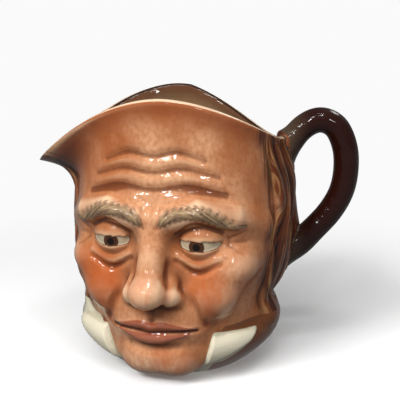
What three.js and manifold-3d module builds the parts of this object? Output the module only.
// A glazed earthenware face jug: one slip-cast pot shaped as an old man's head, open at the top, with a
// cocked rim that runs out to a pouring lip on one side, a loop handle luted on the other, hair at the
// sides and back, and a stand-up collar round the foot. Millimetres, +Z up, origin at the middle of the
// foot, the handle towards +X, the pouring lip towards -X, the face looking along -Y and turned a little
// towards the lip.
import * as THREE from "three";
import { mergeVertices } from "three/addons/utils/BufferGeometryUtils.js";
import Module from "manifold-3d";

// ---------------------------------------------------------------- driving sizes
const RIM_TOP = 140; // height of the rim over the forehead and over the nape
const LIP_TIP = { reach: 76, height: 105.5 }; // the pouring lip
const RIM_AT_HANDLE = { reach: 51, height: 117 };
const RIM_CREST_X = -8; // the rim's crests stand on this line
const RIM_HALF_DEPTH = 55;
const RIM_DIP = 6; // the rim is lower by this much between the nape and the handle
const LIP_HALF_ANGLE = 0.6; // how far round the pouring lip spreads, in radians
const FLARE_HEIGHT = 24; // the rim starts to flare this far below its edge
const WALL = 4.6;
const RIM_WALL = 4.2;
const FLOOR = 6;
const FOOT_RADIUS = 35;
const HEAD_HALF_WIDTH = 54.5;
const HEAD_HALF_DEPTH = 54.5;
const WIDEST_Z = 70; // height where the head is widest
const LOW_SHIFT = -2; // the neck and collar stand this far towards the lip
const FACE_TURN = THREE.MathUtils.degToRad(-12); // the face's turn about Z, towards the lip

// The face is set out in thirds: chin to nose base, nose base to brow, brow to hairline.
const THIRD = 40;
const CHIN_Z = 4;
const NOSE_Z = CHIN_Z + THIRD;
const BROW_Z = NOSE_Z + THIRD;
const EYE_Z = CHIN_Z + 1.75 * THIRD;
const MOUTH_Z = NOSE_Z - THIRD / 3;
const EYE_WIDTH = 21; // one eye, and also the space between the two
const EYE_X = EYE_WIDTH;
const EYEBALL_RADIUS = 10.5;

// Hair hangs in locks from the temples round the back.
const HAIR_FROM = 1.15; // radians from the face's front
const LOCKS = 18;
const HAIR_DEPTH = 1;
const LOCK_DEPTH = 3.7;

const COLLAR_TOP = 30;
const COLLAR_WIDEST_Z = 22;
const COLLAR_REACH = { foot: 37, widest: 53.7, top: 51.5 };
const COLLAR_POINT = 0.4; // radians from the face's front to the collar's points
const COLLAR_FULL = 0.66; // and to where the collar reaches its full height
const WING_DEPTH = 2.4; // how far the folded wings stand off the collar

const HANDLE_THICK = 13; // in the plane of the loop
const HANDLE_WIDE = 14.5; // across it

// Mesh: each lock has a column of points on its ridge and one in its parting.
const FACE_COLUMNS = 46;
const COLLAR_ROWS = 7;
const LOWEST_EDGE_ROW = 4; // height of the collar's rows where the collar itself is lower
const FACE_ROWS = 26;
const FOREHEAD_ROWS = 8;
const FACE_BAND_TOP = 0.72; // where the face's rows end, as a share of the height to the rim
const RIM_ROWS = 3;
const INNER_ROWS = 9; // crowded towards the rim, where the wall flares
const HANDLE_RINGS = 22;
const HANDLE_SIDES = 8; // in each half of the section

// ---------------------------------------------------------------- small maths
const { clamp, lerp, smoothstep } = THREE.MathUtils;
const wrap = (a) => THREE.MathUtils.euclideanModulo(a + Math.PI, 2 * Math.PI) - Math.PI;
const SIDES = [-1, 1];

// The lesser and the greater of two distances, rounded over a width k.
function softMin(a, b, k) {
  const h = clamp(0.5 + (0.5 * (b - a)) / k, 0, 1);
  return lerp(b, a, h) - k * h * (1 - h);
}
const softMax = (a, b, k) => -softMin(-a, -b, k);

// ---------------------------------------------------------------- the turned blank
// An azimuth is an angle round the pot from +X. fromFace() gives it from the face's own front instead.
const FRONT = -Math.PI / 2 + FACE_TURN;
const fromFace = (azimuth) => wrap(azimuth - FRONT);

// Rim height and reach in each direction: crests front and back, dips at the lip and at the handle.
function rimReach(azimuth) {
  const towardsHandle = Math.max(0, Math.cos(azimuth));
  const round = lerp(RIM_HALF_DEPTH, RIM_AT_HANDLE.reach, towardsHandle ** 2);
  const fromLip = wrap(azimuth - Math.PI) / LIP_HALF_ANGLE;
  return round + (LIP_TIP.reach - RIM_HALF_DEPTH) * Math.exp(-fromLip * fromLip);
}
function rimHeight(azimuth) {
  const x = Math.cos(azimuth) * rimReach(azimuth) - RIM_CREST_X;
  const low = x < 0 ? LIP_TIP : RIM_AT_HANDLE;
  const span = low.reach + Math.sign(x) * -RIM_CREST_X;
  const dip = RIM_DIP * Math.max(0, Math.sin(2 * azimuth)) * (Math.sin(azimuth) > 0);
  return lerp(RIM_TOP, low.height, (Math.abs(x) / span) ** 1.85) - dip;
}

// The rounded edge of the rim starts half its own thickness below the top. Above FLARE_HEIGHT under
// that, the wall flares out to the rim.
const rimTop = (azimuth) => rimHeight(azimuth) - RIM_WALL / 2;
const nearRim = (azimuth, z) => clamp(1 - (rimTop(azimuth) - z) / FLARE_HEIGHT, 0, 1);

// The bare head: wider than deep, flatter than an ellipse in plan, drawn in below to the foot.
function headRadius(angle, z) {
  const swell = Math.sin((clamp(z / WIDEST_Z, 0, 1) * Math.PI) / 2) ** 1.6;
  const above = Math.max(0, z - WIDEST_Z) / (RIM_TOP - WIDEST_Z);
  const width = lerp(FOOT_RADIUS, HEAD_HALF_WIDTH, swell) - 12 * above ** 2;
  const depth = lerp(FOOT_RADIUS, HEAD_HALF_DEPTH, swell) - 2 * above ** 2;
  const power = 2.3;
  return (
    (Math.abs(Math.sin(angle) / width) ** power + Math.abs(Math.cos(angle) / depth) ** power) ** (-1 / power)
  );
}

// Locks are round ridges with sharp partings between them, which wander as they fall.
const LOCK_ANGLE = (2 * (Math.PI - HAIR_FROM)) / LOCKS;
const hairCover = (angle) => smoothstep(Math.abs(angle), HAIR_FROM - 0.04, HAIR_FROM + 0.06);
function wander(azimuth, z) {
  const late = 1.2 * Math.sin(2 * azimuth + 0.7); // so that the locks don't all bend together
  const sway = 0.085 * Math.sin(z / 12 + late) + 0.025 * Math.sin(z / 6.3);
  return sway * hairCover(fromFace(azimuth)) * smoothstep(rimTop(azimuth) - z, 0, 20);
}
function hairDepth(azimuth, z) {
  const lock = wrap(fromFace(azimuth) - wander(azimuth, z) - Math.PI) / LOCK_ANGLE;
  const ridge = Math.abs(Math.cos(lock * Math.PI));
  const swell = 0.8 + 0.2 * Math.sin(z / 8 + 2.4 * Math.round(lock));
  const gathered = lerp(0.5, 1, smoothstep(z, COLLAR_TOP, COLLAR_TOP + 14)); // into the collar
  return HAIR_DEPTH + LOCK_DEPTH * swell * gathered * Math.sqrt(ridge);
}

// The blank's full radius, with hair in locks or as one smooth layer, and with the flare to the rim,
// which is sharpest under the lip.
function blankRadius(azimuth, z, inLocks = true) {
  const angle = fromFace(azimuth);
  const covered = hairCover(angle) * smoothstep(rimTop(azimuth) - z, 0, 6) * smoothstep(z, 6, 16);
  const shift = LOW_SHIFT * Math.cos(azimuth) * (1 - smoothstep(z, 30, WIDEST_Z));
  const plain = headRadius(angle, z) + shift + covered * (inLocks ? hairDepth(azimuth, z) : HAIR_DEPTH);
  const bend = lerp(2.4, 5, Math.exp(-((wrap(azimuth - Math.PI) / LIP_HALF_ANGLE) ** 2)));
  return lerp(plain, rimReach(azimuth), nearRim(azimuth, z) ** bend);
}

// ---------------------------------------------------------------- clay
// A shape gives the distance from a point [x, y, z] in the face's frame: x runs across the face, -y is
// forward and z is up. A step adds a shape to the head or cuts it away, blended over a width.
const ball = (centre, radii) => (p) => {
  const q = p.map((value, i) => (value - centre[i]) / radii[i]);
  const scaled = Math.hypot(...q);
  const slope = Math.hypot(...q.map((value, i) => value / radii[i]));
  return slope === 0 ? -Math.min(...radii) : (scaled * (scaled - 1)) / slope;
};

// A chain of round rods through the points, with a radius at each.
const rods = (points, radii) => {
  const spans = points.slice(1).map((b, i) => {
    const a = points[i];
    const d = b.map((value, axis) => value - a[axis]);
    return { a, d, length2: d[0] ** 2 + d[1] ** 2 + d[2] ** 2, ra: radii[i], rb: radii[i + 1] };
  });
  return (p) => {
    let nearest = Infinity;
    for (const { a, d, length2, ra, rb } of spans) {
      const [x, y, z] = [p[0] - a[0], p[1] - a[1], p[2] - a[2]];
      const t = clamp((x * d[0] + y * d[1] + z * d[2]) / length2, 0, 1);
      nearest = Math.min(nearest, Math.hypot(x - t * d[0], y - t * d[1], z - t * d[2]) - lerp(ra, rb, t));
    }
    return nearest;
  };
};

// The part of a shape above (keep = 1) or below (keep = -1) a plane that holds the x axis through
// `point` and rises forward by `tilt`.
const halfOf = (shape, point, tilt, keep) => (p) => {
  const height = Math.sin(tilt) * (p[1] - point[1]) + Math.cos(tilt) * (p[2] - point[2]);
  return Math.max(shape(p), -keep * height);
};

const steps = [];
const add = (shape, blend) => steps.push({ shape, blend, sign: 1 });
const cut = (shape, blend) => steps.push({ shape, blend, sign: -1 });

// Distance from the head as modelled so far, or as it was after its first few steps.
function head(p, count = steps.length) {
  const azimuth = Math.atan2(p[1], p[0]) + FACE_TURN;
  let distance = Math.hypot(p[0], p[1]) - blankRadius(azimuth, p[2]);
  for (let i = 0; i < count; i++) {
    const { shape, blend, sign } = steps[i];
    distance = sign * softMin(sign * distance, shape(p), blend);
  }
  return distance;
}

// The last t in [from, to] before `inside(t)` turns true, walked in steps and then halved.
function edge(from, to, stride, inside) {
  const count = Math.ceil(Math.abs(to - from) / stride);
  let near = from;
  let far = to;
  for (let i = 1; i <= count; i++) {
    far = lerp(from, to, i / count);
    if (inside(far)) break;
    near = far;
  }
  for (let i = 0; i < 10; i++) {
    const middle = (near + far) / 2;
    if (inside(middle)) far = middle;
    else near = middle;
  }
  return (near + far) / 2;
}

// A chain of rods laid along the skin through points [x, z] seen from the front.
function alongSkin(points, radii, sink, count) {
  const route = new THREE.SplineCurve(points.map(([x, z]) => new THREE.Vector2(x, z)));
  const laid = [];
  const sizes = [];
  const span = radii.length - 1;
  for (let i = 0; i <= 10; i++) {
    const { x, y: z } = route.getPoint(i / 10);
    laid.push([x, edge(-90, 0, 1.5, (y) => head([x, y, z], count) < 0) + sink, z]);
    const at = Math.min(Math.floor((i / 10) * span), span - 1);
    sizes.push(lerp(radii[at], radii[at + 1], (i / 10) * span - at));
  }
  return rods(laid, sizes);
}

// ---------------------------------------------------------------- the face's large forms
function muzzleAndJaw() {
  add(ball([0, -27, 33], [39, 26, 30]), 9);
  add(ball([0, -45, 34], [22, 13.5, 16]), 9);
  add(ball([0, -41, 15.5], [18, 15, 12]), 7);
  for (const s of SIDES) {
    add(ball([s * 32, -37.5, 61], [14, 14, 11]), 8); // cheekbone
    add(ball([s * 25, -43, 48], [13, 11.5, 12]), 7); // cheek
    add(rods([[s * 10, -43, 14], [s * 44, -12, 28]], [9, 9]), 8); // jaw
  }
}

function browAndSockets() {
  for (const s of SIDES) {
    cut(ball([s * EYE_X, -59.8, EYE_Z + 1], [14, 10.5, 9.5]), 5);
    const ridge = [[s * 7, -54, BROW_Z + 1], [s * 21, -53.5, BROW_Z + 5], [s * 36, -43, BROW_Z + 1]];
    ridge.push([s * 46, -27, BROW_Z - 6]);
    add(rods(ridge, [5.5, 5.5, 5.5, 4]), 7);
  }
}

function nose() {
  add(rods([[0, -51, BROW_Z - 3], [0, -60.5, 57]], [6, 6.6]), 5);
  add(ball([0, -64.5, 51.5], [8.8, 8.4, 7.4]), 4);
  for (const s of SIDES) {
    add(rods([[s * 6.5, -52, 58], [s * 8.7, -58, 49], [s * 12.5, -49, 47.5]], [4.5, 5.2, 5]), 3.2);
  }
  add(rods([[0, -65, 47], [0, -57, NOSE_Z]], [2.6, 2.8]), 2);
  for (const s of SIDES) cut(ball([s * 5, -62.5, NOSE_Z], [2.5, 4.2, 2.4]), 1.2);
}

function eyes() {
  for (const s of SIDES) {
    const centre = [s * EYE_X, -44, EYE_Z];
    const round = (radius) => ball(centre, [radius, radius, radius]);
    add(round(EYEBALL_RADIUS), 0.6);
    add(halfOf(round(EYEBALL_RADIUS + 1.2), centre, 0.12, 1), 0.7); // upper lid
    add(halfOf(round(EYEBALL_RADIUS + 0.9), centre, -0.36, -1), 0.7); // lower lid
  }
}

// ---------------------------------------------------------------- lines and small forms on the skin
function linesOfTheFace() {
  const forms = steps.length;
  const ridge = (points, radii, sink, blend) => add(alongSkin(points, radii, sink, forms), blend);
  const groove = (points, radii, sink, blend) => cut(alongSkin(points, radii, sink, forms), blend);
  for (const s of SIDES) {
    groove([[s * 11, EYE_Z + 4], [s * 21, EYE_Z + 9.7], [s * 32, EYE_Z + 4.5]], [0.6, 1.1, 0.7], -0.1, 1.2);
    ridge([[s * 12, EYE_Z - 7], [s * 21, EYE_Z - 10.7], [s * 31, EYE_Z - 7]], [1.2, 2.5, 1.2], 1, 2.2);
    groove([[s * 11, EYE_Z - 9], [s * 21, EYE_Z - 14.5], [s * 32, EYE_Z - 10]], [0.7, 1.1, 0.7], -0.2, 1.8);
    groove([[s * 14.5, 52], [s * 20, 43], [s * 24.5, 33]], [0.9, 1.5, 0.5], -0.2, 3); // nose to mouth
    const brow = [[s * 6, BROW_Z], [s * 16, BROW_Z + 5.5], [s * 27, BROW_Z + 6], [s * 39, BROW_Z]];
    ridge(brow, [2, 3.2, 2.6, 1], 0.9, 2);
    groove([[s * 3.4, BROW_Z - 3], [s * 4, BROW_Z + 6]], [0.8, 0.6], -0.2, 1.4);
  }
  for (const [half, z] of [[33, 99], [30, 107], [24, 114.5]]) {
    const line = [[-half, z - 3.5], [-half / 2, z + 0.8], [0, z - 0.8], [half / 2, z + 1.2], [half, z - 3]];
    groove(line, [0.5, 1.1, 1, 1.1, 0.5], -0.3, 2.6);
  }
  groove([[0, NOSE_Z - 1.5], [0, MOUTH_Z + 5.5]], [1.1, 1.8], -0.5, 1.8);
  groove([[-12, 22.6], [0, 21.6], [12, 22.6]], [1.6, 2.7, 1.6], -1.2, 3.5);
  mouth(ridge, groove);
}

function mouth(ridge, groove) {
  const row = (halfWidth, corner, quarter, middle) => [
    [-halfWidth, MOUTH_Z + corner],
    [-halfWidth * 0.32, MOUTH_Z + quarter],
    [0, MOUTH_Z + middle],
    [halfWidth * 0.32, MOUTH_Z + quarter],
    [halfWidth, MOUTH_Z + corner],
  ];
  ridge(row(19, 1, 3.5, 2.5), [0.6, 1.7, 1.5, 1.7, 0.6], 0.3, 1.2);
  ridge(row(17, -1.3, -3.2, -3.5), [0.7, 2.4, 2.6, 2.4, 0.7], 0.4, 1.4);
  groove(row(21, 0.2, 0.4, -0.4), [0.9, 0.8, 0.7, 0.8, 0.9], -0.2, 0.9);
}

// The collar stands round the neck and falls to two points under the chin. A folded wing lies over it
// on each side: its outline is given in radians from the face's front and in height.
const collarEdge = (angle) => COLLAR_TOP * smoothstep(Math.abs(angle), COLLAR_POINT, COLLAR_FULL);
const WING = [[0.46, 8], [0.54, 27.5], [1.05, 25.5], [0.88, 16], [0.7, 9.5]];
const WING_FOLD = [[0.46, 9], [1.05, 24]]; // the lower facet turns in under this line

function collarReach(z) {
  const rise = Math.sin((clamp(z / COLLAR_WIDEST_Z, 0, 1) * Math.PI) / 2);
  const turnedIn = (COLLAR_REACH.widest - COLLAR_REACH.top) * smoothstep(z, COLLAR_WIDEST_Z, COLLAR_TOP);
  return lerp(COLLAR_REACH.foot, COLLAR_REACH.widest, rise) - turnedIn;
}

function collar() {
  const round = ([x, y, z]) => ({
    angle: Math.abs(wrap(Math.atan2(y, x) + Math.PI / 2)),
    off: Math.hypot(x - LOW_SHIFT, y) - collarReach(z),
  });
  add((p) => {
    const { angle, off } = round(p);
    return softMax(off, p[2] - collarEdge(angle), 1.6);
  }, 0.6);
  add((p) => {
    const { angle, off } = round(p);
    const [[fromAngle, fromZ], [toAngle, toZ]] = WING_FOLD;
    const overFold = p[2] - lerp(fromZ, toZ, (angle - fromAngle) / (toAngle - fromAngle));
    const beyond = WING.map(([a, z], i) => {
      const [nextA, nextZ] = WING[(i + 1) % WING.length];
      const along = [(nextA - a) * COLLAR_REACH.widest, nextZ - z];
      const across = (angle - a) * COLLAR_REACH.widest * along[1] - (p[2] - z) * along[0];
      return -across / Math.hypot(...along);
    });
    const outline = Math.max(...beyond);
    const facet = WING_DEPTH + (overFold > 0 ? -0.07 : 0.7) * overFold;
    const bevel = 0.5 - 1.2 * outline;
    return Math.max(off - Math.min(facet, bevel), outline);
  }, 0.4);
}

muzzleAndJaw();
browAndSockets();
nose();
eyes();
linesOfTheFace();
collar();

// ---------------------------------------------------------------- the pot's mesh
// Columns of points: closest over the nose and eyes, and on the ridges and partings of the hair.
const COLUMNS = FACE_COLUMNS + 2 * LOCKS;
function columnAngle(i) {
  const column = i % COLUMNS;
  const across = (2 * column) / FACE_COLUMNS - 1;
  if (across <= 1) return HAIR_FROM * (0.72 * across + 0.28 * across ** 3);
  return HAIR_FROM + ((column - FACE_COLUMNS) * LOCK_ANGLE) / 2;
}

// Rows on the outside run along the collar's edge, then close together over the face.
const range = (count, make) => Array.from({ length: count }, (_, i) => make(i));
const outerRows = [
  ...range(COLLAR_ROWS, (i) => ({ band: "collar", share: (i + 0.4) / (COLLAR_ROWS - 0.6) })),
  ...range(FACE_ROWS, (i) => ({ band: "face", share: i / FACE_ROWS })),
  ...range(FOREHEAD_ROWS, (i) => ({ band: "forehead", share: i / (FOREHEAD_ROWS - 1) })),
];
function outerHeight({ band, share }, azimuth) {
  const edgeZ = Math.max(collarEdge(fromFace(azimuth)), LOWEST_EDGE_ROW);
  const top = rimTop(azimuth);
  if (band === "collar") return lerp(0, edgeZ - 0.8, share);
  if (band === "face") return lerp(edgeZ + 1.6, FACE_BAND_TOP * top, share);
  return lerp(FACE_BAND_TOP * top, top, share);
}

// One horizontal ray from the axis, walked in from outside, finds the carved surface.
function carvedRadius(azimuth, z) {
  const blank = blankRadius(azimuth, z);
  const [x, y] = [Math.cos(azimuth - FACE_TURN), Math.sin(azimuth - FACE_TURN)];
  return edge(blank + 25, blank - 12, 1.2, (r) => head([x * r, y * r, z]) < 0);
}

// The outside's points, column by column, as radius, azimuth and height.
const outside = range(COLUMNS, (column) => {
  const front = FRONT + columnAngle(column);
  return outerRows.map((row) => {
    const azimuth = front + wander(front, outerHeight(row, front));
    const z = outerHeight(row, azimuth);
    return [carvedRadius(azimuth, z), azimuth, z];
  });
});

// The inside follows the outside's larger forms, an even wall's thickness in, as slip casting leaves
// it: the least radius nearby, averaged, so that sockets and partings keep their wall.
const NEARBY = 6;
function leastNearby(column, z) {
  let least = Infinity;
  for (let c = column - 2; c <= column + 2; c++) {
    const points = outside[(c + COLUMNS) % COLUMNS];
    const height = clamp(z, 0, points[points.length - 1][2]);
    for (const [r, , at] of points) if (Math.abs(at - height) < NEARBY) least = Math.min(least, r);
  }
  return least;
}
function bodyInside(column, z) {
  let sum = 0;
  for (let c = -3; c <= 3; c++) for (const dz of [-NEARBY, 0, NEARBY]) sum += leastNearby(column + c, z + dz);
  return Math.min(sum / 21, leastNearby(column, z) + 0.5);
}
// Under the rim it is the flare's own surface, moved in square to itself.
function flareInside(azimuth, z) {
  const moved = [0, 0.25, 0.5, 0.75, 1].map(
    (share) => blankRadius(azimuth, z - share * RIM_WALL, false) - RIM_WALL * Math.sqrt(1 - share ** 2),
  );
  return Math.min(...moved);
}
function innerRadius(column, z, wall = WALL) {
  const azimuth = FRONT + columnAngle(column);
  const flare = flareInside(azimuth, z) + WALL - wall;
  return lerp(bodyInside(column, z) - wall, flare, smoothstep(nearRim(azimuth, z), 0, 0.5));
}

// A lathe turns a closed blank of rows and columns, and each point is then moved to its place.
function turned(rows, place) {
  const profile = rows.map((_, i) => new THREE.Vector2(i === 0 || i === rows.length - 1 ? 0 : 1, i));
  const geometry = new THREE.LatheGeometry(profile, COLUMNS);
  const position = geometry.getAttribute("position");
  for (let column = 0; column <= COLUMNS; column++) {
    rows.forEach((row, i) => {
      const [r, azimuth, z] = place(row, column % COLUMNS);
      position.setXYZ(column * rows.length + i, r * Math.cos(azimuth), r * Math.sin(azimuth), z);
    });
  }
  return geometry;
}

const potRows = [
  { part: "foot", share: 0 },
  { part: "foot", share: 0.96 },
  ...range(outerRows.length, (row) => ({ part: "outer", row })),
  ...range(RIM_ROWS, (i) => ({ part: "rim", turn: ((i + 1) * Math.PI) / (RIM_ROWS + 1) })),
  ...range(INNER_ROWS, (i) => ({ part: "inner", v: 1 - (i / (INNER_ROWS - 1)) ** 1.5 })),
  { part: "floor", share: 0.7 },
  { part: "floor", share: 0 },
];

function placePot(row, column) {
  const front = FRONT + columnAngle(column);
  if (row.part === "foot") return [row.share * outside[column][0][0], front, 0];
  if (row.part === "floor") return [row.share * innerRadius(column, FLOOR), front, FLOOR];
  if (row.part === "outer") return outside[column][row.row];
  const top = rimTop(front);
  if (row.part === "rim") {
    const [out, inner] = [outside[column][outerRows.length - 1][0], innerRadius(column, top)];
    const r = (out + inner) / 2 + ((out - inner) / 2) * Math.cos(row.turn);
    return [r, front, top + (RIM_WALL / 2) * Math.sin(row.turn)];
  }
  const z = lerp(FLOOR + 1, top, row.v);
  return [innerRadius(column, z), front, z];
}

// ---------------------------------------------------------------- the handle
// The loop rises out of the rim, swings over and runs down into the side of the head.
const handleRoute = new THREE.CatmullRomCurve3(
  [[46, 96], [53, 110], [60.5, 120.5], [69.5, 125], [78, 121.5], [83, 111], [84, 99], [82, 87.5], [76.5, 77],
    [68.5, 67.5], [59.5, 58], [45, 49]].map(([x, z]) => new THREE.Vector3(x, 0, z)),
);

function handleGeometry() {
  const section = new THREE.Shape();
  section.absellipse(0, 0, HANDLE_THICK / 2, HANDLE_WIDE / 2, 0, 2 * Math.PI);
  return new THREE.ExtrudeGeometry(section, {
    steps: HANDLE_RINGS,
    bevelEnabled: false,
    curveSegments: HANDLE_SIDES,
    extrudePath: handleRoute,
  });
}

// A plug that fills the inside and a little of the wall, so that the handle's ends stay in the wall.
const PLUG_INTO_WALL = 1.5;
const plugRows = [
  { z: FLOOR, share: 0 },
  ...range(8, (i) => ({ z: lerp(FLOOR, LIP_TIP.height, i / 7), share: 1 })),
  { z: LIP_TIP.height, share: 1, raise: RIM_TOP },
  { z: LIP_TIP.height, share: 0, raise: RIM_TOP },
];
function placePlug({ z, share, raise = 0 }, column) {
  const radius = share * innerRadius(column, z, WALL - PLUG_INTO_WALL);
  return [radius, FRONT + columnAngle(column), z + raise];
}

// ---------------------------------------------------------------- joining
const wasm = await Module();
wasm.setup();

function solid(geometry) {
  const bare = new THREE.BufferGeometry();
  bare.setAttribute("position", geometry.getAttribute("position").clone());
  bare.setIndex(geometry.getIndex());
  const merged = mergeVertices(bare, 1e-3);
  return new wasm.Manifold(
    new wasm.Mesh({
      numProp: 3,
      vertProperties: merged.getAttribute("position").array,
      triVerts: new Uint32Array(merged.getIndex().array),
    }),
  );
}

function toGeometry(manifold) {
  const { vertProperties, triVerts } = manifold.getMesh();
  const geometry = new THREE.BufferGeometry();
  geometry.setAttribute("position", new THREE.BufferAttribute(vertProperties, 3));
  geometry.setIndex(new THREE.BufferAttribute(triVerts, 1));
  geometry.computeVertexNormals();
  return geometry;
}

const pot = solid(turned(potRows, placePot));
const plug = solid(turned(plugRows, placePlug));
const handle = solid(handleGeometry());
const jug = new THREE.Mesh(
  toGeometry(pot.add(handle.subtract(plug))),
  new THREE.MeshStandardMaterial({ color: 0xa8623c, roughness: 0.15, metalness: 0 }),
);
jug.name = "jug";

const group = new THREE.Group();
group.add(jug);
export default group;
